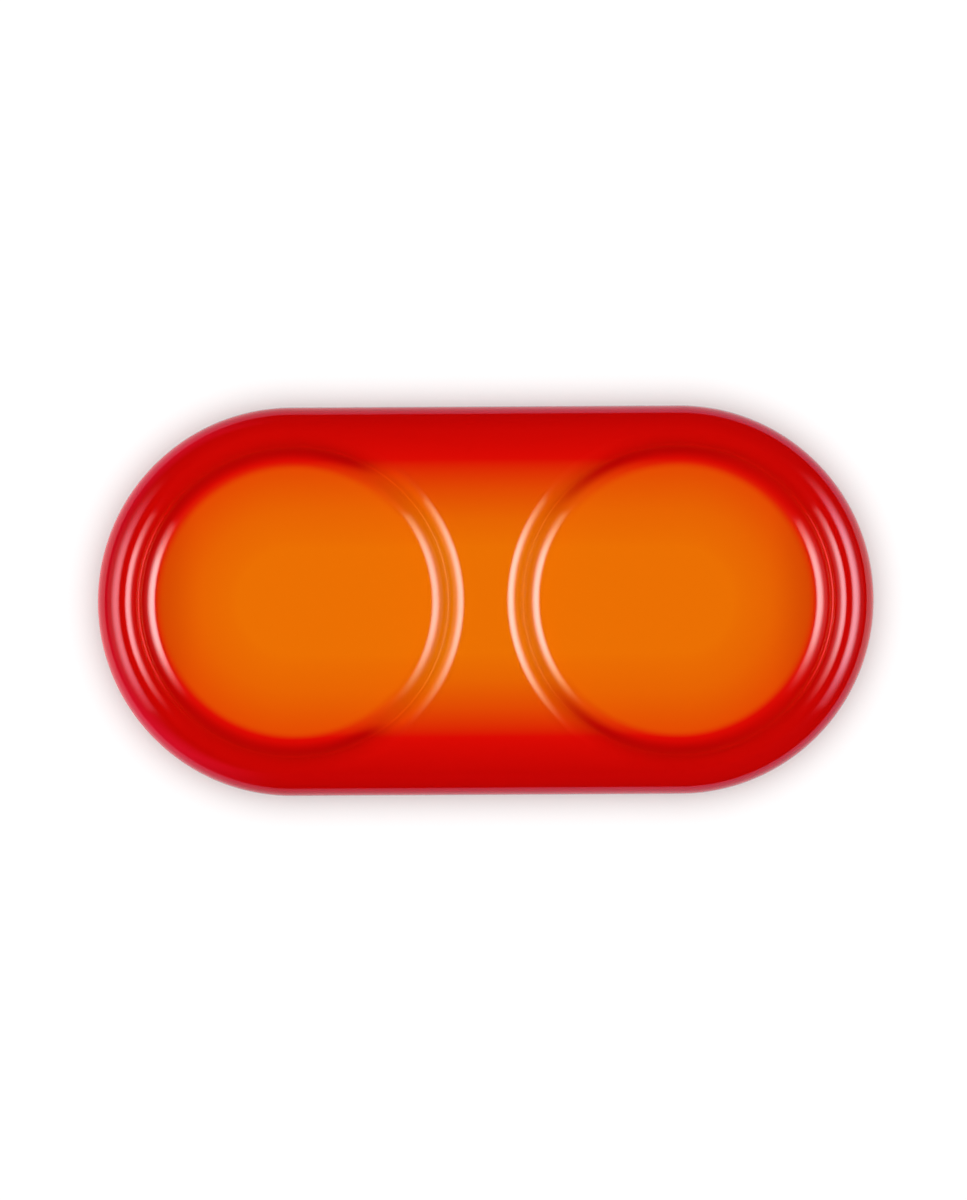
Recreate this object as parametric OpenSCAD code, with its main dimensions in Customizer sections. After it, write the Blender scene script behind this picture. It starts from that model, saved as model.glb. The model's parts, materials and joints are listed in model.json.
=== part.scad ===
// Serving tray for two table mills: one stoneware blank under a fired glaze.
// Millimetres, +Z up. The origin is on the table under the middle of the tray,
// X runs along the tray and Y across it.

/* [Mill wells] */
// Diameter of the mill base that stands in each well
mill_d = 60; // [50:0.5:80]
// Play all round between the mill base and the edge of the well's flat floor
mill_play = 0.4; // [0.2:0.1:3]
// Depth of a well's floor below the rim
well_depth = 4.24; // [3:0.01:12]
// Radius of the cove that runs from a well's floor into its wall
well_cove_r = 5.8; // [3:0.05:9]
// Radius of the lip that runs from a well's wall over to the rim
well_lip_r = 4.8; // [2:0.05:7]
// Width of the flat bridge between the two wells
bridge_w = 9; // [2:0.1:40]

/* [Rim and side] */
// Flat land between a well's lip and the rolled edge along the two long sides
side_land = 0.2; // [0.1:0.1:15]
// Flat land between a well's lip and the rolled edge at the two ends
end_land = 0.7; // [0.1:0.1:30]
// Radius of the rolled top edge
edge_r = 4.9; // [2.5:0.1:8]
// Radius of the tucked-in bottom edge, as long as the side has room for it
base_r = 6; // [2:0.1:10]

/* [Floor and foot] */
// Thickness of the floor under a well, glaze included
floor_t = 8.36; // [4:0.01:15]
// Height of the foot ring below the underside
foot_h = 2.4; // [1:0.1:5]
// Width of the foot ring's bare bearing land
foot_w = 5; // [3:0.1:9]
// Distance from the tucked-in edge to the foot ring
foot_inset = 1.5; // [1:0.1:6]
// Radius on the two lower edges of the foot ring
foot_edge_r = 0.7; // [0.2:0.05:1]

/* [Glaze] */
// Thickness of the fired glaze
glaze_t = 0.5; // [0.2:0.05:1]
// Bare margin wiped clean beside the foot ring
foot_wipe = 0.8; // [0.3:0.1:2]
// Distance from a well's flat floor out to the line where orange meets red
blend_offset = 1; // [0.2:0.1:2.5]

/* [Hidden] */
$fn = 180;
// How far a cutter runs past the face that it opens, or a root into what holds it
overrun = 1;
// The least height of straight side that the bottom edge leaves under the rolled edge
least_side = 0.2;
// A well's wall is two arcs, tangent at the wall's steepest tilt, and upright between
// them where the well is deeper than the arcs are together
arcs_r = well_cove_r + well_lip_r;
wall_tilt = well_depth < arcs_r ? acos(1 - well_depth / arcs_r) : 90;
well_floor_r = mill_d / 2 + mill_play;
well_top_r = well_floor_r + arcs_r * sin(wall_tilt);
well_pitch = 2 * well_top_r + bridge_w;
// Heights above the table
tray_h = foot_h + floor_t + well_depth;
well_floor_z = tray_h - well_depth;
clay_base_z = foot_h + glaze_t;
// The outline is a stadium: every point of it lies this far from the spine
rim_r = well_top_r + side_land + edge_r;
spine_l = well_pitch + 2 * (end_land - side_land);
tuck_r = min(base_r, tray_h - foot_h - edge_r - least_side);
foot_out_r = rim_r - tuck_r - foot_inset;
foot_in_r = foot_out_r - foot_w;
blend_r = well_floor_r + blend_offset;

// Shapes that several pieces share

module quarter_disc(r) {
    intersection() {
        circle(r);
        square(r);
    }
}

// Sweeps a section, drawn outwards from the spine, all the way round a stadium
module round_stadium(length) {
    for (end = [-1, 1])
        translate([end * length / 2, 0])
            rotate(end * -90)
                rotate_extrude(angle = 180)
                    children();
    rotate([90, 0, 90])
        linear_extrude(length, center = true) {
            children();
            mirror([1, 0])
                children();
        }
}

module stadium_plate(length, r, z_low, z_high) {
    round_stadium(length)
        translate([0, z_low])
            square([r, z_high - z_low]);
}

// Half of the tray's cross-section without its wells, drawn in by inset on every face
module edge_section(inset) {
    low = foot_h + tuck_r;
    high = tray_h - edge_r;
    translate([0, foot_h + inset])
        square([rim_r - tuck_r, tuck_r - inset]);
    translate([0, low])
        square([rim_r - inset, high - low]);
    translate([0, high])
        square([rim_r - edge_r, edge_r - inset]);
    translate([rim_r - edge_r, high])
        quarter_disc(edge_r - inset);
    translate([rim_r - tuck_r, low])
        mirror([0, 1])
            quarter_disc(tuck_r - inset);
}

// Half of the space in a well, grown by inset into the floor, cove, wall and lip
module well_section(inset) {
    cove_r = well_cove_r + inset;
    lip_r = well_lip_r - inset;
    floor_z = well_floor_z - inset;
    wall_x = well_floor_r + cove_r * sin(wall_tilt);
    cove_top_z = floor_z + cove_r * (1 - cos(wall_tilt));
    lip_low_z = tray_h - inset - lip_r * (1 - cos(wall_tilt));
    open_z = tray_h + overrun;
    translate([0, floor_z])
        square([well_floor_r, open_z - floor_z]);
    intersection() {
        translate([well_floor_r, floor_z + cove_r])
            circle(cove_r);
        translate([well_floor_r, floor_z])
            square([wall_x - well_floor_r, cove_top_z - floor_z]);
    }
    translate([well_floor_r, cove_top_z])
        square([wall_x - well_floor_r, open_z - cove_top_z]);
    difference() {
        translate([wall_x, lip_low_z])
            square([well_top_r - wall_x, open_z - lip_low_z]);
        translate([well_top_r, tray_h - well_lip_r])
            circle(lip_r);
    }
}

// The tray's solid form with both wells, drawn in by inset on every face
module tray_form(inset) {
    difference() {
        round_stadium(spine_l)
            edge_section(inset);
        for (side = [-1, 1])
            translate([side * well_pitch / 2, 0])
                rotate_extrude()
                    well_section(inset);
    }
}

module foot_section() {
    translate([foot_in_r, foot_edge_r])
        square([foot_w, clay_base_z + overrun - foot_edge_r]);
    translate([foot_in_r + foot_edge_r, 0])
        square([foot_w - 2 * foot_edge_r, foot_edge_r]);
    translate([foot_out_r - foot_edge_r, foot_edge_r])
        mirror([0, 1])
            quarter_disc(foot_edge_r);
    translate([foot_in_r + foot_edge_r, foot_edge_r])
        rotate(180)
            quarter_disc(foot_edge_r);
}

// The glaze over the top and the side, down to the wiped margin beside the foot ring
module top_coat() {
    difference() {
        tray_form(0);
        tray_form(glaze_t);
        stadium_plate(spine_l, foot_out_r + foot_wipe, 0, clay_base_z + overrun);
    }
}

// The part of the top coat that stays orange: both well floors and the bridge
module inner_zone() {
    stadium_plate(well_pitch, blend_r, clay_base_z + overrun, tray_h + overrun);
}

// The pieces

module stoneware_body() {
    color("#CDB596") {
        tray_form(glaze_t);
        round_stadium(spine_l)
            foot_section();
    }
}

module rim_glaze() {
    color("#CC0605")
        difference() {
            top_coat();
            inner_zone();
        }
}

module inner_glaze() {
    color("#EA6E00")
        intersection() {
            top_coat();
            inner_zone();
        }
}

module underside_glaze() {
    color("#E2571A")
        stadium_plate(spine_l, foot_in_r - foot_wipe, foot_h, clay_base_z);
}

stoneware_body();
rim_glaze();
inner_glaze();
underside_glaze();
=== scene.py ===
"""Looks of a glazed stoneware tray for two table mills, built around its CAD frame.

Everything is in metres, in the frame's own axes: X along the tray, Y across it, Z up from the table.
"""

import json
import math
from types import SimpleNamespace

import bmesh
import bpy
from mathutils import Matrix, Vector, noise


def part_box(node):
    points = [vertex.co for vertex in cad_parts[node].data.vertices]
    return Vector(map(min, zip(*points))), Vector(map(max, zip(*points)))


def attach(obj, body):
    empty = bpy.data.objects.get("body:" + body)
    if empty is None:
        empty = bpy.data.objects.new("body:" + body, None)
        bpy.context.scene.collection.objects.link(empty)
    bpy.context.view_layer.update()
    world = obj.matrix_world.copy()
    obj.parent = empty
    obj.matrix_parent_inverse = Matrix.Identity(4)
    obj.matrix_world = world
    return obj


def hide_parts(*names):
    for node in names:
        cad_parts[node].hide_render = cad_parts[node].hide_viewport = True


bl_info = {
    "name": "Glazed Mill Tray",
    "version": (1, 0, 0),
    "blender": (4, 5, 0),
    "location": "3D View > Sidebar > Mill Tray",
    "description": "Dresses a stoneware mill tray in its glazes and sets up its studio",
    "category": "Object",
}

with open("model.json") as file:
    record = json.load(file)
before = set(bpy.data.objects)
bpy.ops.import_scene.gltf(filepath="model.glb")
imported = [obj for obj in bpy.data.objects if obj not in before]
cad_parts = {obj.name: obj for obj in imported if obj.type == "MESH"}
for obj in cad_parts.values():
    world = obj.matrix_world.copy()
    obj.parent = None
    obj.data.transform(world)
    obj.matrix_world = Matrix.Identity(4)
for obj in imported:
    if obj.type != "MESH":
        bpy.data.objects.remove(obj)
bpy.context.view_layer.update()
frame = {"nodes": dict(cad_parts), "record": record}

MM = 0.001
# What rounding may add to a number before it is compared
SLACK = 1e-6

# Places read from the frame
RIM_LOW, RIM_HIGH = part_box("rim_glaze")
INNER_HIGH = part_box("inner_glaze")[1]
UNDER_LOW, UNDER_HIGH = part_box("underside_glaze")
MOUNTS = {mount["name"]: Vector(mount["pos_m"]) for mount in frame["record"]["mounts"]}
WELL = MOUNTS["right_well_floor"]
RIM_R = RIM_HIGH.y
RIM_Z = RIM_HIGH.z
SPINE_X = RIM_HIGH.x - RIM_HIGH.y
FOOT_H = UNDER_LOW.z
GLAZE_T = UNDER_HIGH.z - UNDER_LOW.z
UNDER_R = UNDER_HIGH.y
# How far the line between the two glaze nodes lies outside a well's flat floor
BLEND_OFFSET = 1.0 * MM


def linear(hex_colour):
    """Turns an sRGB hex colour into linear red, green and blue."""
    shares = [int(hex_colour[i : i + 2], 16) / 255 for i in (1, 3, 5)]
    return [s / 12.92 if s <= 0.04045 else ((s + 0.055) / 1.055) ** 2.4 for s in shares]


def length(name, description, default):
    """A length property in metres."""
    return bpy.props.FloatProperty(
        name=name, description=description, default=default, min=0.0, unit="LENGTH", precision=5
    )


def angle(name, description, degrees):
    """An angle property, given in degrees."""
    return bpy.props.FloatProperty(
        name=name, description=description, default=math.radians(degrees), subtype="ANGLE"
    )


def factor(name, description, default):
    """A property that is a share, from 0 to 1."""
    return bpy.props.FloatProperty(
        name=name, description=description, default=default, min=0.0, max=1.0, subtype="FACTOR"
    )


def number(name, description, default):
    """A property that is a plain number, from 0 up."""
    return bpy.props.FloatProperty(name=name, description=description, default=default, min=0.0)


def wattage(name, description, watts):
    """The power of a lamp."""
    return bpy.props.FloatProperty(name=name, description=description, default=watts, unit="POWER")


def colour(name, description, hex_colour):
    """A colour property, given as an sRGB hex value."""
    return bpy.props.FloatVectorProperty(
        name=name, description=description, default=linear(hex_colour), size=3, subtype="COLOR",
        min=0.0, max=1.0,
    )


def flag(name, box, shading):
    """How a soft box is dimmed.

    The three numbers are the slants, seen from the tray, of the lines where that begins and where it ends in
    a firm edge, and the share of the light that is left at this edge.
    """
    return bpy.props.FloatVectorProperty(
        name=name,
        description="Slants where a flag begins and ends to dim %s, and the light left there" % box,
        default=shading, size=3, min=0.0,
    )


class TrayForm(bpy.types.PropertyGroup):
    """The tray's curves, within half a millimetre of those of the CAD solids."""

    floor_r: length("Well floor radius", "Flat floor of a well", INNER_HIGH.y - BLEND_OFFSET)
    depth: length("Well depth", "Depth of a well's floor below the rim", RIM_Z - WELL.z)
    cove_r: length("Cove radius", "Hollow curve from a well's floor into its wall", 5.62 * MM)
    lip_r: length("Lip radius", "Round-over from a well's wall to the rim", 4.63 * MM)
    bridge_lip_r: length("Bridge lip radius", "The wider round-over beside the bridge", 5.4 * MM)
    line_half: length("Wall line", "Half the width of the faint line round a well's wall", 0.32 * MM)
    line_dip: number("Wall line dip", "How much less steep the wall is on its faint line", 0.96)
    bridge_line_dip: number("Bridge line dip", "The same dip of the line, beside the bridge", 0.83)
    edge_r: length("Edge radius", "Rolled top edge", 5.75 * MM)
    tuck_r: length("Tuck radius", "Tucked-in bottom edge", 6 * MM)
    wiped_r: length("Wiped line", "Distance of the glaze's lower end from the spine", RIM_R - 6.7 * MM)
    wiped_fade: length("Wiped fade", "Width of the toasted clay beside a wiped glaze line", 1.1 * MM)
    wipe_wave: length("Wipe wave", "How far the hand-wiped glaze line wanders", 0.25 * MM)
    turn_step: angle("Turn step", "Angle between two columns of the mesh", 1.5)
    bend_step: angle("Bend step", "Angle between two rows of a curve", 4)


class GlazeLook(bpy.types.PropertyGroup):
    """The fired glazes."""

    # Partly thin, colder glaze and partly painted light: the left end's rolled edge is lightened where the
    # left lamp falls on it
    edge_crimson_and_light: colour("Edge crimson", "Thin, colder red on the rolled edge of the left end", "#EC1633")
    rim_red: colour("Rim red", "Deep red on the rim", "#C30503")
    scarlet: colour("Scarlet", "Where the red thins and the orange first shows through", "#DB0A03")
    vermilion: colour("Vermilion", "Where little red is left", "#E76403")
    orange: colour("Orange", "The bare orange coat on the bridge and well floors", "#EB7003")
    # Partly thin glaze and partly painted light on the walls beside the bridge
    breaking_and_light: bpy.props.FloatVectorProperty(
        name="Breaking",
        description="How many times lighter in red, green and blue the coat is where it has run thin",
        default=(1.2, 1.45, 1.0), size=3, min=0.0,
    )
    underside: colour("Underside", "The single coat inside the foot ring", "#DE4A0A")
    red_at: length("Red line", "Distance of the full red from the outer edge", 3.5 * MM)
    scarlet_at: length("Scarlet line", "Distance of the scarlet line from the outer edge", 12 * MM)
    left_bare: length("Left well bare line", "Distance from the edge where its wall is free of red", 16 * MM)
    right_bare: length("Right well bare line", "The same distance in the right well", 27 * MM)
    vermilion_at: length("Vermilion line", "Distance of the vermilion line from the outer edge", 25.5 * MM)
    orange_at: length("Orange line", "Distance from the outer edge where only orange is left", 32 * MM)
    pool_end: length("Pool end", "Distance from the edge up to which the floors are less red", 29.6 * MM)
    pool_lift: factor("Pool lift", "How much less red the floors are, of the way to the pool's end", 1 / 3)
    pool_outside: length("Pool start", "How far outside the flat floor its tone begins", 1.2 * MM)
    pool_inside: length("Pool full", "How far inside the flat floor its tone is full", 0.9 * MM)
    # Painted shade on the floors beside the end walls
    end_from: length("End shade", "Distance from a floor's middle where it begins to darken", 20 * MM)
    end_shade: factor("End shade share", "How light the thick glaze beside the end walls is", 0.88)
    # A painted highlight on the end walls' faint line
    line_highlight: number("Line light", "How many times lighter in red the end walls' faint line is", 1.35)
    # Painted shade in the coves
    cove_shade_reach: length("Cove pool", "How far outside the flat floor the red has pooled most", 3.5 * MM)
    roughness: factor("Roughness", "Roughness of the fired glaze", 0.085)
    left_gloss: colour("Left gloss", "Tint of the reflections on the left end of the rim", "#FAB3C1")
    right_gloss: colour("Right gloss", "Tint of the reflections on the right end of the rim", "#F3D6E6")
    rim_end: length("Rim end", "Distance from the outer edge where the glaze gets its full gloss", 11 * MM)
    lean: length("Lean", "How much further the red reaches over the front of the bridge", 1.7 * MM)


class ClayLook(bpy.types.PropertyGroup):
    """The bare fired clay of the foot ring."""

    buff: colour("Buff", "Fired stoneware", "#CDB596")
    toasted: colour("Toasted", "Iron flashing in the clay", "#A9825C")
    ground: colour("Ground", "The ground face of the foot ring", "#D9C6AA")


class StudioSetup(bpy.types.PropertyGroup):
    """The camera and the light."""

    camera_height: length("Camera height", "Height of the camera above the table", 2.0)
    frame_height: length("Frame height", "Height of the picture at the tray's widest level", 0.2717)
    roll: angle("Roll", "Turn of the camera about its axis", -0.32)
    offset: length("Offset", "How far left of the middle the camera stands", 0.5 * MM)
    rise: length("Rise", "How far behind the long axis the camera stands", 0.16 * MM)
    box_reach: length("Light reach", "How far each soft box stands from the middle of the tray", 1.246)
    box_height: length("Light height", "Height of each soft box", 1.39)
    box_width: length("Light width", "Width of a soft box, inner to outer edge", 2.24)
    box_length: length("Light length", "Length of a soft box across the tray", 3.08)
    box_aim: length("Light aim", "How far past the middle each soft box is turned", 0.4)
    box_spread: angle("Light spread", "Full angle of the light of a soft box", 76)
    left_back: flag("Left back flag", "the left soft box towards the back", (0.08, 0.98, 0.0))
    left_front: flag("Left front flag", "the left soft box towards the front", (0.36, 0.695, 0.50))
    right_back: flag("Right back flag", "the right soft box towards the back", (0.28, 1.0, 0.0))
    right_front: flag("Right front flag", "the right soft box towards the front", (0.25, 0.695, 0.33))
    left_power: wattage("Left power", "Power of the left soft box", 50.3)
    right_power: wattage("Right power", "Power of the right soft box", 61.9)
    left_tail: number("Left tail", "Light left at the outer part of the left soft box", 0.05)
    right_tail: number("Right tail", "Light left at the outer part of the right soft box", 0.012)
    overhead_height: length("Overhead height", "Height of the light over the sweep", 4.0)
    overhead_angle: angle("Overhead angle", "Half angle of the light over the sweep, from the tray", 38)
    overhead_power: wattage("Overhead power", "Power of the light over the sweep", 442.0)


def add_node(tree, kind, inputs=None, **settings):
    """Adds a node, sets its properties, and sets or links its inputs.

    A Map Range node takes its value as input 0, the range that it comes from as 1 and 2, and the range that
    it goes to as 3 and 4. Both ranges are 0 to 1 where nothing is said. A Mix of colours takes its share
    as 0 and the two colours as 6 and 7, and gives its colour as output 2.
    """
    node = tree.nodes.new(kind)
    for name, value in settings.items():
        setattr(node, name, value)
    for socket, value in (inputs or {}).items():
        if isinstance(value, bpy.types.NodeSocket):
            tree.links.new(value, node.inputs[socket])
        else:
            node.inputs[socket].default_value = value
    return node


def new_material(name):
    """An empty node material and its tree."""
    material = bpy.data.materials.new(name)
    material.use_nodes = True
    material.node_tree.nodes.clear()
    return material, material.node_tree


def steps(start, end, step):
    """Even values from start to end, both included, no further apart than step."""
    count = max(1, math.ceil(abs(end - start) / step - SLACK))
    return [start + (end - start) * i / count for i in range(count + 1)]


def smooth(share):
    """Eases a share from 0 to 1 with level ends, and holds it outside them."""
    share = min(1.0, max(0.0, share))
    return share * share * (3 - 2 * share)


def lip_radius(form, to_bridge):
    """The lip's radius where the cosine of the turn away from the bridge is to_bridge."""
    return form.lip_r + (form.bridge_lip_r - form.lip_r) * smooth(to_bridge)


def dip_beside(form, lip_r):
    """How much less steep a well's wall is on its faint line, where its lip has this radius."""
    to_bridge = (lip_r - form.lip_r) / (form.bridge_lip_r - form.lip_r)
    return form.line_dip + (form.bridge_line_dip - form.line_dip) * to_bridge


def line_height(form, lip_r, share):
    """The height that a well's wall loses to its faint line, from the line's lower edge up to a share.

    The share is of the line's half width and runs from -1 to 1. The line's dip is a bell,
    (1 - share ** 2) ** 2, and this is what it adds up to.
    """
    share = min(1.0, max(-1.0, share))
    return dip_beside(form, lip_r) * form.line_half * (share - share**3 * 2 / 3 + share**5 / 5 + 8 / 15)


def wall_tilt(form, lip_r):
    """The steepest tilt of a well's wall, where its two arcs meet."""
    return math.acos(1 - (form.depth + line_height(form, lip_r, 1)) / (form.cove_r + lip_r))


def line_r(form, lip_r):
    """The distance from a well's axis at which its two arcs meet, on the faint line."""
    return form.floor_r + form.cove_r * math.sin(wall_tilt(form, lip_r))


def well_top_r(form, lip_r):
    """The distance from a well's axis at which its lip reaches the rim."""
    return form.floor_r + (form.cove_r + lip_r) * math.sin(wall_tilt(form, lip_r))


def arc_drop(radius, reach):
    """How far an arc has dropped, and its tilt, at a distance from where it is level."""
    tilt = math.asin(min(1.0, max(0.0, reach / radius)))
    return radius * (1 - math.cos(tilt)), tilt


def well_drop(form, from_axis, lip_r):
    """How far a well lies below the rim at a distance from its axis, and its slope there."""
    middle = line_r(form, lip_r)
    share = min(1.0, max(-1.0, (from_axis - middle) / form.line_half))
    lost = line_height(form, lip_r, share)
    if from_axis <= middle:
        rise, tilt = arc_drop(form.cove_r, from_axis - form.floor_r)
        drop = form.depth - rise + lost
    else:
        drop, tilt = arc_drop(lip_r, well_top_r(form, lip_r) - from_axis)
        drop -= line_height(form, lip_r, 1) - lost
    return drop, math.tan(tilt) - dip_beside(form, lip_r) * (1 - share**2) ** 2


def top_face(form, plan):
    """The point of the glazed top over a plan position, and its normal.

    The drop into the well and the drop over the rolled edge are added, so the narrow rim between them is one
    smooth crest.
    """
    axis = Vector((math.copysign(WELL.x, plan.x), 0, 0))
    spine = Vector((max(-SPINE_X, min(SPINE_X, plan.x)), 0, 0))
    from_axis = plan - axis
    from_spine = plan - spine
    lip_r = lip_radius(form, -from_axis.normalized().x * math.copysign(1, plan.x))
    sunk, slope = well_drop(form, from_axis.length, lip_r)
    rolled, roll = arc_drop(form.edge_r, from_spine.length - (RIM_R - form.edge_r))
    normal = Vector((0, 0, 1)) - slope * from_axis.normalized()
    normal = math.cos(roll) * normal + math.sin(roll) * from_spine.normalized()
    return plan + Vector((0, 0, RIM_Z - sunk - rolled)), normal.normalized()


def crest(form):
    """How far from a well's axis its own rows end, and how far from the spine those of the edge begin."""
    half_gap = 0.1 * MM
    top_r = well_top_r(form, form.lip_r)
    roll_r = RIM_R - form.edge_r
    middle = (top_r + roll_r) / 2
    return min(top_r, middle - half_gap), max(roll_r, middle + half_gap)


def well_reaches(form, end, lip_r):
    """Distances of the coat's rows from a well's axis."""
    floor_shares = (0, 0.25, 0.5, 0.75, 0.9)
    arc_rows = 14
    line_rows = 4
    top_r = well_top_r(form, lip_r)
    middle = line_r(form, lip_r)
    below = math.asin((middle - form.line_half - form.floor_r) / form.cove_r)
    above = math.asin((top_r - middle - form.line_half) / lip_r)
    last = math.asin((top_r - min(end, top_r)) / lip_r)
    reaches = [form.floor_r * share for share in floor_shares]
    for i in range(arc_rows + 1):
        reaches.append(form.floor_r + form.cove_r * math.sin(below * i / arc_rows))
    for i in range(1 - line_rows, line_rows):
        reaches.append(middle + form.line_half * i / line_rows)
    for i in range(arc_rows + 1):
        reaches.append(top_r - lip_r * math.sin(above + (last - above) * i / arc_rows))
    return reaches


def edge_reaches(form, start):
    """Distances of the coat's rows from the spine, over the rolled edge."""
    roll_r = RIM_R - form.edge_r
    first = math.asin((start - roll_r) / form.edge_r)
    return [roll_r + form.edge_r * math.sin(t) for t in steps(first, math.pi / 2, form.bend_step)]


# A profile is a list of rows: how far out, how high, the normal's two parts, and how far the row follows
# the hand-wiped wave.


def side_profile(form):
    """From the widest line under the rolled edge, round the tucked-in bottom edge, to the wiped line."""
    low = FOOT_H + form.tuck_r
    rows = []
    for t in steps(math.pi / 2, math.pi, form.bend_step):
        s, c = math.sin(t), math.cos(t)
        rows.append((RIM_R - form.tuck_r * (1 - s), low + form.tuck_r * c, s, c, 0))
    rows.append((form.wiped_r, FOOT_H, 0, -1, 1))
    return rows


def bead_profile(end_r):
    """The rounded end of a glaze at a wiped line, from its lower to its upper face."""
    bead_step = math.pi / 6
    half = GLAZE_T / 2
    rows = []
    for t in steps(0, math.pi, bead_step)[1:-1]:
        s, c = math.sin(t), math.cos(t)
        rows.append((end_r - half * s, FOOT_H + half * (1 - c), -s, -c, 1))
    return rows


def plate_profile(form):
    """The section of the glaze inside the foot ring: its lower face, its rounded edge and its upper face."""
    lower_shares = (0, 0.25, 0.5, 0.75, 0.94)
    upper_shares = (0.94, 0.5, 0)
    bead_step = math.pi / 8
    half = GLAZE_T / 2
    bead_r = UNDER_R - half - form.wipe_wave
    rows = [(bead_r * share, FOOT_H, 0, -1, 0) for share in lower_shares]
    for t in steps(0, math.pi, bead_step):
        s, c = math.sin(t), math.cos(t)
        rows.append((bead_r + half * s, FOOT_H + half * (1 - c), s, -c, 1))
    return rows + [(bead_r * share, FOOT_H + GLAZE_T, 0, 1, 0) for share in upper_shares]


def place(profile, foot, way, form):
    """Points and normals of a profile that stands at foot and runs out along way."""
    wave_length = 9 * MM
    column = []
    for out, up, n_out, n_up, wave in profile:
        point = foot + way * out + Vector((0, 0, up))
        if wave:
            point += way * wave * form.wipe_wave * noise.noise(point / wave_length)
        column.append((point, way * n_out + Vector((0, 0, n_up))))
    return column


def between(start, end):
    """Points on the flat land between two points, ends left out."""
    land_steps = 3
    return [start.lerp(end, i / land_steps) for i in range(1, land_steps)]


def inner_face(points):
    """The same points on the glaze's face against the clay, run the other way."""
    return [(point - normal * GLAZE_T, -normal) for point, normal in reversed(points)]


def coat_quarter(form, x_sign, y_sign):
    """The strips of one quarter of the glaze coat.

    The columns of the first strip close round the rim. Those of the other two, the outer and the inner face,
    end on the bridge.
    """
    least_sine = 0.5
    well_end, edge_start = crest(form)
    from_spine = edge_reaches(form, edge_start)
    side = side_profile(form)
    bead = bead_profile(form.wiped_r)
    flip = Vector((x_sign, y_sign, 1))
    bridge_turn = math.pi - math.atan2(edge_start, WELL.x)
    turns = steps(0, math.pi / 2, form.turn_step)
    turns += steps(math.pi / 2, bridge_turn, form.turn_step)[1:]
    turns += steps(bridge_turn, math.pi, form.turn_step)[1:]
    closed, open_outer, open_inner = [], [], []
    for turn in turns:
        way = Vector((math.cos(turn), math.sin(turn), 0))
        foot, out = Vector((SPINE_X, 0, 0)), way
        room = well_end / max(math.sin(turn), least_sine) if turn > math.pi / 2 else well_end
        from_axis = well_reaches(form, room, lip_radius(form, -way.x))
        well = [Vector((WELL.x, 0, 0)) + way * reach for reach in from_axis]
        if turn > math.pi / 2:
            along = max(0.0, 1 + edge_start / WELL.x / math.tan(turn)) if turn < math.pi else 0.0
            foot, out = foot * along, Vector((0, 1, 0))
        if turn <= bridge_turn + SLACK:
            edge = [foot + out * reach for reach in from_spine]
            plan = well + between(well[-1], edge[0]) + edge
            outer = [top_face(form, point * flip) for point in plan]
            outer += place(side, foot * flip, out * flip, form)
            closed.append(outer + place(bead, foot * flip, out * flip, form) + inner_face(outer))
        if turn >= bridge_turn - SLACK:
            middle = Vector((0, WELL.x * math.tan(math.pi - turn), 0))
            plan = well + between(well[-1], middle) + [middle]
            outer = [top_face(form, point * flip) for point in plan]
            open_outer.append(outer)
            open_inner.append(inner_face(outer))
    return closed, open_outer, open_inner


def underside_quarter(form, x_sign, y_sign):
    """The one strip of a quarter of the glaze inside the foot ring: a thin plate with a hand-wiped edge."""
    side_columns = 20
    profile = plate_profile(form)
    flip = Vector((x_sign, y_sign, 1))
    spine = Vector((SPINE_X, 0, 0))
    stands = [(spine, Vector((math.cos(t), math.sin(t), 0))) for t in steps(0, math.pi / 2, form.turn_step)]
    for i in range(1, side_columns + 1):
        stands.append((spine * (1 - i / side_columns), Vector((0, 1, 0))))
    return [[place(profile, foot * flip, way * flip, form) for foot, way in stands]]


def add_strip(bm, layer, columns, mirrored):
    """Adds the faces between neighbouring columns, with each point's own normal kept in a layer."""
    rows = []
    for column in columns:
        verts = []
        for point, normal in column:
            vert = bm.verts.new(point)
            vert[layer] = normal
            verts.append(vert)
        rows.append(verts)
    for left, right in zip(rows, rows[1:]):
        for a, b, c, d in zip(left, left[1:], right[1:], right):
            bm.faces.new((d, c, b, a) if mirrored else (a, b, c, d))


def closed_piece(name, form, quarter, turned_over):
    """A closed object of four mirrored quarters, which shades with their own normals.

    The columns of a quarter that is turned over run the other way round.
    """
    seam = MM / 1000
    bm = bmesh.new()
    layer = bm.verts.layers.float_vector.new("normal")
    for x_sign in (1, -1):
        for y_sign in (1, -1):
            mirrored = (x_sign * y_sign < 0) != turned_over
            for columns in quarter(form, x_sign, y_sign):
                add_strip(bm, layer, columns, mirrored)
    bmesh.ops.remove_doubles(bm, verts=bm.verts, dist=seam)
    mesh = bpy.data.meshes.new(name)
    normals = [vert[layer].normalized() for vert in bm.verts]
    bm.to_mesh(mesh)
    bm.free()
    mesh.shade_smooth()
    mesh.normals_split_custom_set_from_vertices(normals)
    piece = bpy.data.objects.new(name, mesh)
    bpy.context.scene.collection.objects.link(piece)
    return piece


def tray_places(tree):
    """Where a point of the tray is, in nodes, with its distance in plan from the spine.

    The spine is the line between the centres of the tray's two round ends.
    """
    here = add_node(tree, "ShaderNodeTexCoord").outputs["Object"]
    parts = add_node(tree, "ShaderNodeSeparateXYZ", {0: here}).outputs
    at = SimpleNamespace(here=here, x=parts["X"], y=parts["Y"], z=parts["Z"])
    at.along = add_node(tree, "ShaderNodeMath", {0: at.x}, operation="ABSOLUTE").outputs[0]
    past_spine = add_node(tree, "ShaderNodeMath", {0: at.along, 1: SPINE_X}, operation="SUBTRACT").outputs[0]
    past_end = add_node(tree, "ShaderNodeMath", {0: past_spine, 1: 0.0}, operation="MAXIMUM").outputs[0]
    plan = add_node(tree, "ShaderNodeCombineXYZ", {"X": past_end, "Y": at.y}).outputs[0]
    at.from_spine = add_node(tree, "ShaderNodeVectorMath", {0: plan}, operation="LENGTH").outputs["Value"]
    return at


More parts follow.
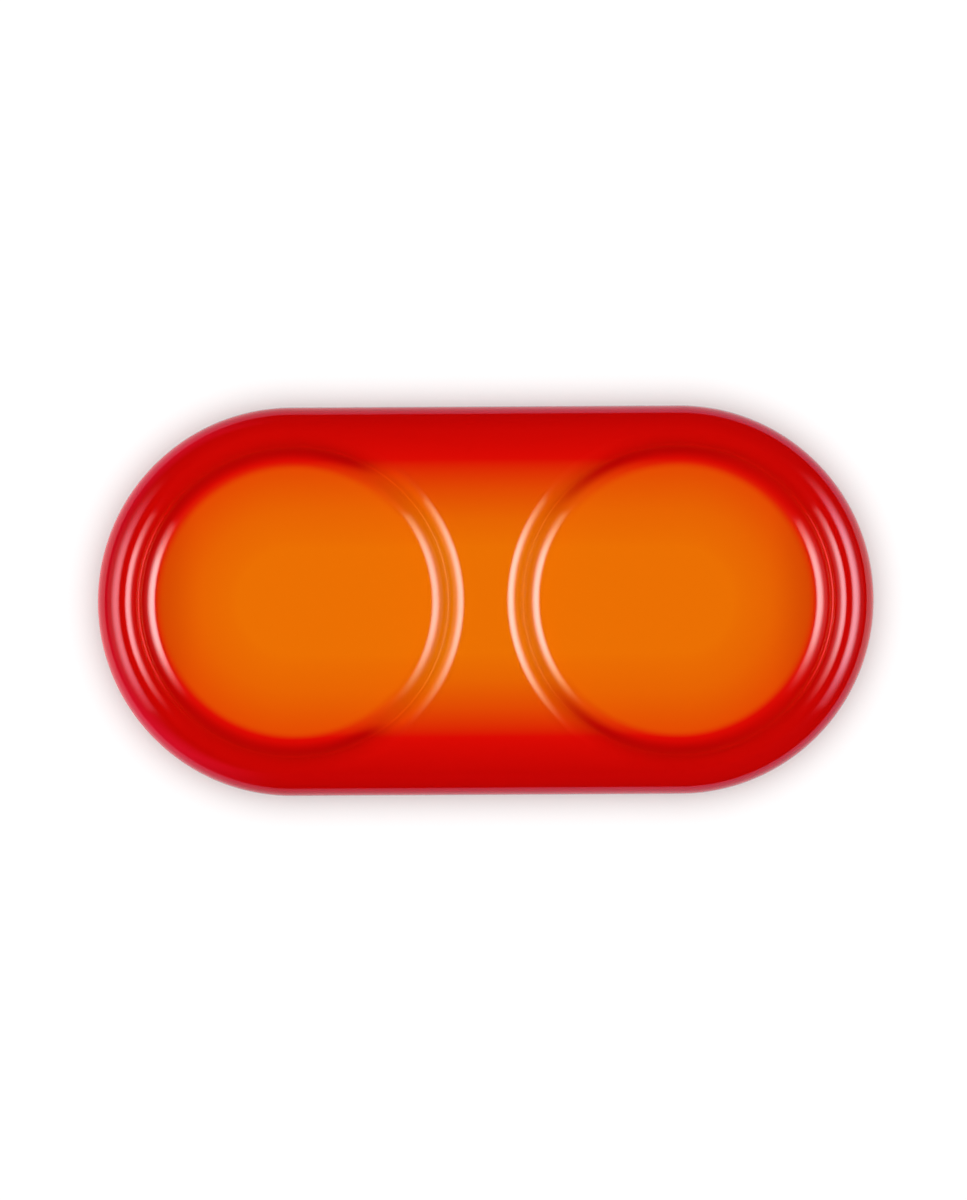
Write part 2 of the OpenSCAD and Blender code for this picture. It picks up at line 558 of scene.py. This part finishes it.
def overlap(tree, zones):
    """How far a point lies inside several soft-edged zones at once, from 0 to 1.

    A zone is a value in nodes, where the zone begins in that value, and where it is full.
    """
    inside = None
    for value, begins, full in zones:
        zone = add_node(
            tree, "ShaderNodeMapRange", {0: value, 1: begins, 2: full}, interpolation_type="SMOOTHSTEP"
        ).outputs[0]
        if inside is not None:
            zone = add_node(tree, "ShaderNodeMath", {0: inside, 1: zone}, operation="MULTIPLY").outputs[0]
        inside = zone
    return inside


def glaze_places(tree, look, form):
    """Where a point of the glaze coat is, against the outer edge and the well beside it.

    Its depth is how far it lies inside the outer edge, as the sprayed red takes it: deeper on the well
    floors, where the red has run off, and less deep at the front of the bridge, where the red leans in.
    """
    at = tray_places(tree)
    at.from_edge = add_node(
        tree, "ShaderNodeMath", {0: RIM_R, 1: at.from_spine}, operation="SUBTRACT"
    ).outputs[0]
    at.past_well = add_node(
        tree, "ShaderNodeMath", {0: at.along, 1: WELL.x}, operation="SUBTRACT"
    ).outputs[0]
    plan = add_node(tree, "ShaderNodeCombineXYZ", {"X": at.past_well, "Y": at.y}).outputs[0]
    at.from_well = add_node(tree, "ShaderNodeVectorMath", {0: plan}, operation="LENGTH").outputs["Value"]
    # The sine of the turn about the well's axis, 0 at the end wall and beside the bridge
    turned = add_node(tree, "ShaderNodeMath", {0: at.y, 1: at.from_well}, operation="DIVIDE").outputs[0]
    at.turned = add_node(tree, "ShaderNodeMath", {0: turned}, operation="ABSOLUTE").outputs[0]
    at.floor_zone = (at.from_well, form.floor_r + look.pool_outside, form.floor_r - look.pool_inside)
    on_floor = overlap(tree, [at.floor_zone])

    lean = add_node(
        tree, "ShaderNodeMapRange", {0: at.y, 1: -RIM_R, 2: 0.0, 3: -look.lean, 4: 0.0}
    ).outputs[0]
    most_lift = look.pool_end * look.pool_lift
    lift = add_node(
        tree, "ShaderNodeMapRange", {0: at.from_edge, 1: 0.0, 2: look.pool_end, 3: most_lift, 4: 0.0}
    ).outputs[0]
    lift = add_node(tree, "ShaderNodeMath", {0: lift, 1: lean}, operation="SUBTRACT").outputs[0]
    leant = add_node(tree, "ShaderNodeMath", {0: at.from_edge, 1: lean}, operation="ADD").outputs[0]
    depth = add_node(
        tree, "ShaderNodeMath", {0: lift, 1: on_floor, 2: leant}, operation="MULTIPLY_ADD"
    ).outputs[0]
    # Everywhere but at the left end the red is full right out to the edge. At the left end the rolled edge
    # takes the lighter crimson: partly thin, colder glaze, partly painted light where the left lamp falls on
    # it
    beside = add_node(
        tree, "ShaderNodeMapRange", {0: at.x, 1: -SPINE_X, 2: RIM_LOW.x, 3: look.red_at, 4: 0.0},
        interpolation_type="SMOOTHSTEP",
    ).outputs[0]
    at.depth = add_node(tree, "ShaderNodeMath", {0: depth, 1: beside}, operation="MAXIMUM").outputs[0]
    return at


def sprayed_tone(tree, look, at):
    """The colour of the spray, from the red edge in to the bare orange coat."""
    share = add_node(tree, "ShaderNodeMath", {0: at.depth, 1: RIM_R}, operation="DIVIDE").outputs[0]
    ramp = add_node(tree, "ShaderNodeValToRGB", {0: share})
    stops = (
        (0.0, look.edge_crimson_and_light), (look.red_at, look.rim_red), (look.scarlet_at, look.scarlet),
        (look.vermilion_at, look.vermilion), (look.orange_at, look.orange),
    )
    elements = ramp.color_ramp.elements
    while len(elements) < len(stops):
        elements.new(0.5)
    for element, (reach, tone) in zip(elements, stops):
        element.position = reach / RIM_R
        element.color = (*tone, 1.0)
    return ramp.outputs["Color"]


def shade_light_and_run_zones(tree, look, form, at):
    """How the spray's colour is changed: painted shade in the coves and beside the end walls, thin glaze and
    painted light on the walls beside the bridge, and a painted highlight on the end walls' faint line. Each
    comes with how much, the way its colour is mixed in, and the colour.
    """
    half_bridge = WELL.x - form.floor_r
    bare_at = add_node(
        tree, "ShaderNodeMapRange",
        {0: at.x, 1: -half_bridge, 2: half_bridge, 3: look.left_bare, 4: look.right_bare},
    ).outputs[0]

    # Painted shade: the coves are darkened towards the deep rim red, but for the right end
    cove_shade_r = form.floor_r + look.cove_shade_reach
    cove_shade_zones = (
        (at.from_well, form.floor_r + look.pool_outside, cove_shade_r),
        (at.from_well, form.floor_r + form.cove_r, cove_shade_r),
        (at.depth, bare_at, look.scarlet_at),
        (at.x, WELL.x + form.floor_r, WELL.x),
    )
    shaded = overlap(tree, cove_shade_zones)

    # Painted shade on the floors beside the end walls, darkest next to them
    end_wall_shade = overlap(tree, [(at.past_well, look.end_from, form.floor_r), at.floor_zone])

    # The walls beside the bridge are lightened, less so in the right well: partly the orange coat run thin,
    # partly painted light that stands in for light falling on these walls
    right_share = 0.3
    cove_from, cove_full = 0.35 * form.cove_r, 0.85 * form.cove_r
    lip_from, lip_full = 0.15 * form.bridge_lip_r, 0.55 * form.bridge_lip_r
    top_r = well_top_r(form, form.bridge_lip_r)
    thin_and_lit_zones = (
        (at.from_well, form.floor_r + cove_from, form.floor_r + cove_full),
        (at.from_well, top_r - lip_from, top_r - lip_full),
        (at.depth, look.scarlet_at, bare_at),
    )
    leftward = add_node(
        tree, "ShaderNodeMapRange", {0: at.x, 1: -half_bridge, 2: half_bridge, 3: 1.0, 4: right_share}
    ).outputs[0]
    thin = add_node(
        tree, "ShaderNodeMath", {0: overlap(tree, thin_and_lit_zones), 1: leftward}, operation="MULTIPLY"
    ).outputs[0]

    # Painted highlight: the faint line at half height of the end walls is lightened in red where it turns
    # towards the lamps
    line_reach = 1.5 * form.line_half
    line_from, line_full = 0.7, 0.3
    middle_r = line_r(form, form.lip_r)
    off_line = add_node(
        tree, "ShaderNodeMath", {0: at.from_well, 1: middle_r}, operation="SUBTRACT"
    ).outputs[0]
    off_line = add_node(tree, "ShaderNodeMath", {0: off_line}, operation="ABSOLUTE").outputs[0]
    line_highlight_zones = (
        (off_line, line_reach, 0.0),
        (at.depth, look.left_bare, look.scarlet_at),
        (at.turned, line_from, line_full),
    )
    line_highlight_mask = overlap(tree, line_highlight_zones)
    return (
        (shaded, "MIX", look.rim_red),
        (end_wall_shade, "MULTIPLY", [look.end_shade] * 3),
        (thin, "MULTIPLY", look.breaking_and_light),
        (line_highlight_mask, "MULTIPLY", (look.line_highlight, 1.0, 1.0)),
    )


def gloss_tint(tree, look, at):
    """The tint of the glaze's reflections: cold on the rim's thin glaze, and white further in."""
    full = add_node(
        tree, "ShaderNodeMapRange", {0: at.from_edge, 1: look.red_at, 2: look.rim_end},
        interpolation_type="SMOOTHSTEP",
    ).outputs[0]
    rightward = add_node(tree, "ShaderNodeMapRange", {0: at.x, 1: -SPINE_X, 2: SPINE_X}).outputs[0]
    rim_gloss = add_node(
        tree, "ShaderNodeMix", {0: rightward, 6: (*look.left_gloss, 1.0), 7: (*look.right_gloss, 1.0)},
        data_type="RGBA",
    ).outputs[2]
    gloss = add_node(
        tree, "ShaderNodeMix", {0: full, 6: rim_gloss, 7: (1.0, 1.0, 1.0, 1.0)}, data_type="RGBA"
    ).outputs[2]
    # Red glaze reflects the amber ends of the lights colder than the orange coat does
    cold_from, cold_full, green_left = 0.3, 0.57, 0.45
    green = add_node(
        tree, "ShaderNodeMapRange", {0: at.turned, 1: cold_from, 2: cold_full, 3: 1.0, 4: green_left}
    ).outputs[0]
    cold = add_node(tree, "ShaderNodeCombineColor", {"Red": 1.0, "Green": green, "Blue": 1.0}).outputs[0]
    red = add_node(
        tree, "ShaderNodeMapRange", {0: at.depth, 1: look.left_bare, 2: look.scarlet_at},
        interpolation_type="SMOOTHSTEP",
    ).outputs[0]
    return add_node(
        tree, "ShaderNodeMix", {0: red, 6: gloss, 7: cold}, data_type="RGBA", blend_type="MULTIPLY"
    ).outputs[2]


def gradient_glaze(look, form):
    """Sprayed two-colour stoneware glaze, fired to a gloss.

    Red is sprayed from outside over an orange coat, so it is full on the edge and thins towards the middle.
    In the wells it has run off the foot of the walls, so the floor turns orange within a few millimetres of
    them. The fired glass is smooth, with a faint wave that a highlight's edge shows.
    """
    material, tree = new_material("sprayed_red_orange_glaze")
    at = glaze_places(tree, look, form)
    tone = sprayed_tone(tree, look, at)
    for amount, blend, changed_tone in shade_light_and_run_zones(tree, look, form, at):
        tone = add_node(
            tree, "ShaderNodeMix", {0: amount, 6: tone, 7: (*changed_tone, 1.0)}, data_type="RGBA",
            blend_type=blend,
        ).outputs[2]
    wave_size = 7 * MM
    wave_depth = 0.012 * MM
    wave = add_node(
        tree, "ShaderNodeTexNoise", {"Vector": at.here, "Scale": 1 / wave_size, "Detail": 1.0}
    ).outputs[0]
    bump = add_node(tree, "ShaderNodeBump", {"Height": wave, "Strength": 1.0, "Distance": wave_depth})
    shader = add_node(
        tree, "ShaderNodeBsdfPrincipled",
        {
            "Base Color": tone, "Roughness": look.roughness, "IOR": 1.6,
            "Specular Tint": gloss_tint(tree, look, at), "Normal": bump.outputs["Normal"],
        },
    )
    add_node(tree, "ShaderNodeOutputMaterial", {"Surface": shader.outputs[0]})
    return material


def underside_coat(look, form):
    """A single brushed coat of orange glaze, fired to a gloss.

    It is redder where the brush left it thick, breaks to a paler orange at its wiped edge, and its surface
    keeps the brush's long low waves.
    """
    material, tree = new_material("brushed_orange_glaze")
    at = tray_places(tree)
    # A brush stroke is long along the tray and narrow across it
    stroke_length = 40 * MM
    stroke_width = 6 * MM
    stroke_depth = 0.05 * MM
    thin_below, thick_above, most_red = 0.35, 0.8, 0.5
    stroke = Vector((1 / stroke_length, 1 / stroke_width, 1 / stroke_length))
    strokes = add_node(
        tree, "ShaderNodeVectorMath", {0: at.here, 1: stroke}, operation="MULTIPLY"
    ).outputs[0]
    brushed = add_node(
        tree, "ShaderNodeTexNoise", {"Vector": strokes, "Scale": 1.0, "Detail": 3.0}
    ).outputs[0]
    thick = add_node(
        tree, "ShaderNodeMapRange", {0: brushed, 1: thin_below, 2: thick_above, 3: 0.0, 4: most_red},
        interpolation_type="SMOOTHSTEP",
    ).outputs[0]
    edge = add_node(
        tree, "ShaderNodeMapRange", {0: at.from_spine, 1: UNDER_R - 2 * form.wiped_fade, 2: UNDER_R},
        interpolation_type="SMOOTHSTEP",
    ).outputs[0]
    tone = (*look.underside, 1.0)
    for amount, over in ((thick, look.scarlet), (edge, look.orange)):
        tone = add_node(
            tree, "ShaderNodeMix", {0: amount, 6: tone, 7: (*over, 1.0)}, data_type="RGBA"
        ).outputs[2]
    bump = add_node(tree, "ShaderNodeBump", {"Height": brushed, "Strength": 1.0, "Distance": stroke_depth})
    shader = add_node(
        tree, "ShaderNodeBsdfPrincipled",
        {"Base Color": tone, "Roughness": look.roughness, "IOR": 1.52, "Normal": bump.outputs["Normal"]},
    )
    add_node(tree, "ShaderNodeOutputMaterial", {"Surface": shader.outputs[0]})
    return material


def bare_clay(look, form):
    """Buff stoneware, wiped and fired bare: dry and matt, with fine grit.

    Iron has flashed it brown in patches and in a line beside the glaze. The face of the foot ring has been
    ground level, so it is paler and smoother than the fired skin.
    """
    material, tree = new_material("bare_fired_stoneware")
    at = tray_places(tree)
    patch = 12 * MM
    grit = 0.6 * MM
    grit_depth = 0.04 * MM
    patch_from, patch_full, most_flashed = 0.45, 0.85, 0.7
    speck_from, speck_full = 0.68, 0.74
    ground_below, fired_above = 0.04 * MM, 0.12 * MM
    ground_roughness, fired_roughness = 0.65, 0.85
    patches = add_node(
        tree, "ShaderNodeTexNoise", {"Vector": at.here, "Scale": 1 / patch, "Detail": 4.0}
    ).outputs[0]
    grain = add_node(
        tree, "ShaderNodeTexNoise", {"Vector": at.here, "Scale": 1 / grit, "Detail": 2.0}
    ).outputs[0]
    flashed = add_node(
        tree, "ShaderNodeMapRange", {0: patches, 1: patch_from, 2: patch_full, 3: 0.0, 4: most_flashed},
        interpolation_type="SMOOTHSTEP",
    ).outputs[0]
    bare_middle = (UNDER_R + form.wiped_r) / 2
    bare_half = (form.wiped_r - UNDER_R) / 2
    off_middle = add_node(
        tree, "ShaderNodeMath", {0: at.from_spine, 1: bare_middle}, operation="SUBTRACT"
    ).outputs[0]
    off_middle = add_node(tree, "ShaderNodeMath", {0: off_middle}, operation="ABSOLUTE").outputs[0]
    by_glaze = add_node(
        tree, "ShaderNodeMapRange", {0: off_middle, 1: bare_half - form.wiped_fade, 2: bare_half},
        interpolation_type="SMOOTHSTEP",
    ).outputs[0]
    toasted = add_node(tree, "ShaderNodeMath", {0: flashed, 1: by_glaze}, operation="MAXIMUM").outputs[0]
    ground = add_node(
        tree, "ShaderNodeMapRange", {0: at.z, 1: fired_above, 2: ground_below},
        interpolation_type="SMOOTHSTEP",
    ).outputs[0]
    speck = add_node(
        tree, "ShaderNodeMapRange", {0: grain, 1: speck_from, 2: speck_full}, interpolation_type="SMOOTHSTEP"
    ).outputs[0]
    tone = (*look.buff, 1.0)
    for amount, over in ((toasted, look.toasted), (ground, look.ground), (speck, look.toasted)):
        tone = add_node(
            tree, "ShaderNodeMix", {0: amount, 6: tone, 7: (*over, 1.0)}, data_type="RGBA"
        ).outputs[2]
    rough = add_node(
        tree, "ShaderNodeMapRange", {0: ground, 3: fired_roughness, 4: ground_roughness}
    ).outputs[0]
    bump = add_node(tree, "ShaderNodeBump", {"Height": grain, "Strength": 1.0, "Distance": grit_depth})
    shader = add_node(
        tree, "ShaderNodeBsdfPrincipled",
        {"Base Color": tone, "Roughness": rough, "IOR": 1.5, "Normal": bump.outputs["Normal"]},
    )
    add_node(tree, "ShaderNodeOutputMaterial", {"Surface": shader.outputs[0]})
    return material


class MILLTRAY_OT_glaze_coat(bpy.types.Operator):
    """Makes the glaze over the top and the side as one closed coat."""

    bl_idname = "mill_tray.glaze_coat"
    bl_label = "Glaze Coat"

    def execute(self, context):
        form = context.scene.tray_form
        coat = closed_piece("glaze_coat", form, coat_quarter, False)
        coat.data.materials.append(gradient_glaze(context.scene.tray_glaze, form))
        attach(coat, "root")
        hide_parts("rim_glaze", "inner_glaze")
        return {"FINISHED"}


class MILLTRAY_OT_underside(bpy.types.Operator):
    """Makes the coat of glaze inside the foot ring."""

    bl_idname = "mill_tray.underside"
    bl_label = "Underside Glaze"

    def execute(self, context):
        form = context.scene.tray_form
        plate = closed_piece("underside_coat", form, underside_quarter, True)
        plate.data.materials.append(underside_coat(context.scene.tray_glaze, form))
        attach(plate, "root")
        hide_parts("underside_glaze")
        return {"FINISHED"}


class MILLTRAY_OT_bare_foot(bpy.types.Operator):
    """Gives the stoneware, which shows at the foot ring, its bare fired finish."""

    bl_idname = "mill_tray.bare_foot"
    bl_label = "Bare Foot"

    def execute(self, context):
        clay = frame["nodes"]["stoneware_body"]
        clay.data.materials.clear()
        clay.data.materials.append(bare_clay(context.scene.tray_clay, context.scene.tray_form))
        return {"FINISHED"}


def white_table():
    """A matt white sweep that takes the tray's shadow and shows as white in the picture and in the glaze."""
    # What the sweep glows by itself, where it is seen and where it lights the tray
    seen_glow = 0.15
    cast_glow = 0.46
    material, tree = new_material("matt_white_sweep")
    rays = add_node(tree, "ShaderNodeLightPath").outputs
    seen = rays["Is Camera Ray"]
    for kind in ("Is Glossy Ray", "Is Transmission Ray"):
        seen = add_node(tree, "ShaderNodeMath", {0: seen, 1: rays[kind]}, operation="MAXIMUM").outputs[0]
    cast = add_node(
        tree, "ShaderNodeMath", {0: rays["Is Diffuse Ray"], 1: cast_glow}, operation="MULTIPLY"
    ).outputs[0]
    glow = add_node(
        tree, "ShaderNodeMath", {0: seen, 1: seen_glow, 2: cast}, operation="MULTIPLY_ADD"
    ).outputs[0]
    light = add_node(tree, "ShaderNodeEmission", {"Strength": glow})
    paper = add_node(tree, "ShaderNodeBsdfDiffuse", {"Color": (*linear("#BCBCBC"), 1.0)})
    both = add_node(tree, "ShaderNodeAddShader", {0: light.outputs[0], 1: paper.outputs[0]})
    add_node(tree, "ShaderNodeOutputMaterial", {"Surface": both.outputs[0]})
    return material


def dark_room(scene):
    """A dark studio above the white sweep."""
    world = bpy.data.worlds.new("studio")
    world.use_nodes = True
    tree = world.node_tree
    tree.nodes.clear()
    sky = add_node(tree, "ShaderNodeBackground", {"Color": (0, 0, 0, 1)})
    add_node(tree, "ShaderNodeOutputWorld", {"Surface": sky.outputs[0]})
    scene.world = world


def box_turn(studio):
    """How far a soft box is turned from lying flat, so that it looks past the middle of the tray."""
    return math.atan2(studio.box_reach + studio.box_aim, studio.box_height)


def box_cloth(tree, studio, side, tail, flags):
    """The cloth of a soft box: how it glows over its width and its length.

    It is brightest near its inner edge and fades outwards to its tail. Flags of thin amber cloth dim and
    warm it along lines that run out from the tray, towards the back and towards the front.
    """
    # Shares of the width at which the light begins and is full, and at which it starts to fade and has faded
    begins, full, fades, faded = 0.02, 0.19, 0.21, 0.77
    # The slants at which the amber begins and is full, and the blue that it leaves
    amber_from, amber_full, blue_left = 0.32, 0.7, 0.43
    # How wide a flag's firm edge is, as a slant
    firm = 0.01
    half_reach = studio.box_width / 2 * math.cos(box_turn(studio))
    half_length = studio.box_length / 2
    place_on = add_node(tree, "ShaderNodeNewGeometry").outputs["Parametric"]
    split = add_node(tree, "ShaderNodeSeparateXYZ", {0: place_on})
    inner, outer = (1.0, 0.0) if side < 0 else (0.0, 1.0)
    out = add_node(tree, "ShaderNodeMapRange", {0: split.outputs["X"], 1: inner, 2: outer}).outputs[0]
    reach = add_node(
        tree, "ShaderNodeMapRange",
        {0: out, 3: studio.box_reach - half_reach, 4: studio.box_reach + half_reach},
    ).outputs[0]
    across = add_node(
        tree, "ShaderNodeMapRange", {0: split.outputs["Y"], 3: -half_length, 4: half_length}
    ).outputs[0]
    slant = add_node(tree, "ShaderNodeMath", {0: across, 1: reach}, operation="DIVIDE").outputs[0]

    glow = add_node(
        tree, "ShaderNodeMapRange", {0: out, 1: begins, 2: full}, interpolation_type="SMOOTHSTEP"
    ).outputs[0]
    fade = add_node(
        tree, "ShaderNodeMapRange", {0: out, 1: fades, 2: faded, 3: 1.0, 4: tail},
        interpolation_type="SMOOTHSTEP",
    ).outputs[0]
    dimmers = [fade]
    for way, (begin, end, rest) in zip((1, -1), flags):
        dimmed = add_node(
            tree, "ShaderNodeMapRange", {0: slant, 1: way * begin, 2: way * end, 3: 1.0, 4: rest},
            interpolation_type="SMOOTHSTEP",
        ).outputs[0]
        cut = add_node(
            tree, "ShaderNodeMapRange", {0: slant, 1: way * end, 2: way * (end + firm), 3: 1.0, 4: 0.0}
        ).outputs[0]
        dimmers += [dimmed, cut]
    for dimmer in dimmers:
        glow = add_node(tree, "ShaderNodeMath", {0: glow, 1: dimmer}, operation="MULTIPLY").outputs[0]
    off_middle = add_node(tree, "ShaderNodeMath", {0: slant}, operation="ABSOLUTE").outputs[0]
    blue = add_node(
        tree, "ShaderNodeMapRange", {0: off_middle, 1: amber_from, 2: amber_full, 3: 1.0, 4: blue_left}
    ).outputs[0]
    amber = add_node(tree, "ShaderNodeCombineColor", {"Red": 1.0, "Green": 1.0, "Blue": blue}).outputs[0]
    cloth = add_node(tree, "ShaderNodeEmission", {"Color": amber, "Strength": glow})
    add_node(tree, "ShaderNodeOutputLight", {"Surface": cloth.outputs[0]})


def light_panel(studio, name, side, power, tail, flags):
    """A soft box beside one end of the tray, turned past it to light the far end as much as the near one."""
    data = bpy.data.lights.new(name, "AREA")
    data.shape = "RECTANGLE"
    data.size = studio.box_width
    data.size_y = studio.box_length
    data.spread = studio.box_spread
    data.energy = power
    data.use_nodes = True
    data.node_tree.nodes.clear()
    box_cloth(data.node_tree, studio, side, tail, flags)
    panel = bpy.data.objects.new(name, data)
    panel.location = (side * studio.box_reach, 0, studio.box_height)
    panel.rotation_euler = (0, side * box_turn(studio), 0)
    bpy.context.scene.collection.objects.link(panel)
    return panel


def overhead_light(studio):
    """A wide even light far above, which only the sweep takes: a white table with a soft close shadow."""
    data = bpy.data.lights.new("overhead_light", "AREA")
    data.shape = "DISK"
    data.size = 2 * studio.overhead_height * math.tan(studio.overhead_angle)
    data.energy = studio.overhead_power
    light = bpy.data.objects.new("overhead_light", data)
    light.location = (0, 0, studio.overhead_height)
    light.visible_camera = False
    light.visible_glossy = False
    bpy.context.scene.collection.objects.link(light)
    return light


def light_only(name, lamps, receivers):
    """Lets lamps light only these objects."""
    group = bpy.data.collections.new(name)
    for receiver in receivers:
        group.objects.link(receiver)
    for lamp in lamps:
        lamp.light_linking.receiver_collection = group


def overhead_camera(studio):
    """A camera straight above the tray, with the lens that gives the picture its height."""
    data = bpy.data.cameras.new("camera")
    data.sensor_width = 36
    widest_z = (RIM_Z + FOOT_H) / 2
    data.lens = data.sensor_width * (studio.camera_height - widest_z) / studio.frame_height
    camera = bpy.data.objects.new("camera", data)
    camera.location = (-studio.offset, studio.rise, studio.camera_height)
    camera.rotation_euler = (0, 0, studio.roll)
    bpy.context.scene.collection.objects.link(camera)
    return camera


class MILLTRAY_OT_studio(bpy.types.Operator):
    """Sets up the white sweep, the lights, the dark room and the camera straight above the tray."""

    bl_idname = "mill_tray.studio"
    bl_label = "Studio"

    def execute(self, context):
        sweep_size = 8.0
        sweep_drop = 0.01 * MM
        scene = context.scene
        studio = scene.tray_studio
        bpy.ops.mesh.primitive_plane_add(size=sweep_size, location=(0, 0, -sweep_drop))
        sweep = context.object
        sweep.name = "white_sweep"
        sweep.data.materials.append(white_table())
        dark_room(scene)
        left_flags = (studio.left_back, studio.left_front)
        right_flags = (studio.right_back, studio.right_front)
        boxes = [
            light_panel(studio, "left_soft_box", -1, studio.left_power, studio.left_tail, left_flags),
            light_panel(studio, "right_soft_box", 1, studio.right_power, studio.right_tail, right_flags),
        ]
        pieces = [bpy.data.objects[name] for name in ("glaze_coat", "underside_coat", "stoneware_body")]
        light_only("lit_tray", boxes, pieces)
        light_only("lit_sweep", [overhead_light(studio)], [sweep])
        scene.camera = overhead_camera(studio)
        scene.view_settings.view_transform = "Standard"
        return {"FINISHED"}


class MILLTRAY_PT_panel(bpy.types.Panel):
    """The tray's pieces and its studio."""

    bl_idname = "MILLTRAY_PT_panel"
    bl_label = "Mill Tray"
    bl_space_type = "VIEW_3D"
    bl_region_type = "UI"
    bl_category = "Mill Tray"

    def draw(self, context):
        for operator in OPERATORS:
            self.layout.operator(operator.bl_idname)
        for name, group in SETTINGS.items():
            box = self.layout.box()
            box.label(text=group.__doc__)
            for setting in group.__annotations__:
                box.prop(getattr(context.scene, name), setting)


OPERATORS = (MILLTRAY_OT_glaze_coat, MILLTRAY_OT_underside, MILLTRAY_OT_bare_foot, MILLTRAY_OT_studio)
SETTINGS = {
    "tray_form": TrayForm,
    "tray_glaze": GlazeLook,
    "tray_clay": ClayLook,
    "tray_studio": StudioSetup,
}


def register():
    for group in SETTINGS.values():
        bpy.utils.register_class(group)
    for operator in OPERATORS:
        bpy.utils.register_class(operator)
    bpy.utils.register_class(MILLTRAY_PT_panel)
    for name, group in SETTINGS.items():
        setattr(bpy.types.Scene, name, bpy.props.PointerProperty(type=group))


def unregister():
    for name in SETTINGS:
        delattr(bpy.types.Scene, name)
    bpy.utils.unregister_class(MILLTRAY_PT_panel)
    for operator in reversed(OPERATORS):
        bpy.utils.unregister_class(operator)
    for group in SETTINGS.values():
        bpy.utils.unregister_class(group)


def main():
    register()
    bpy.ops.mill_tray.glaze_coat()
    bpy.ops.mill_tray.underside()
    bpy.ops.mill_tray.bare_foot()
    bpy.ops.mill_tray.studio()


if __name__ == "__main__":
    main()
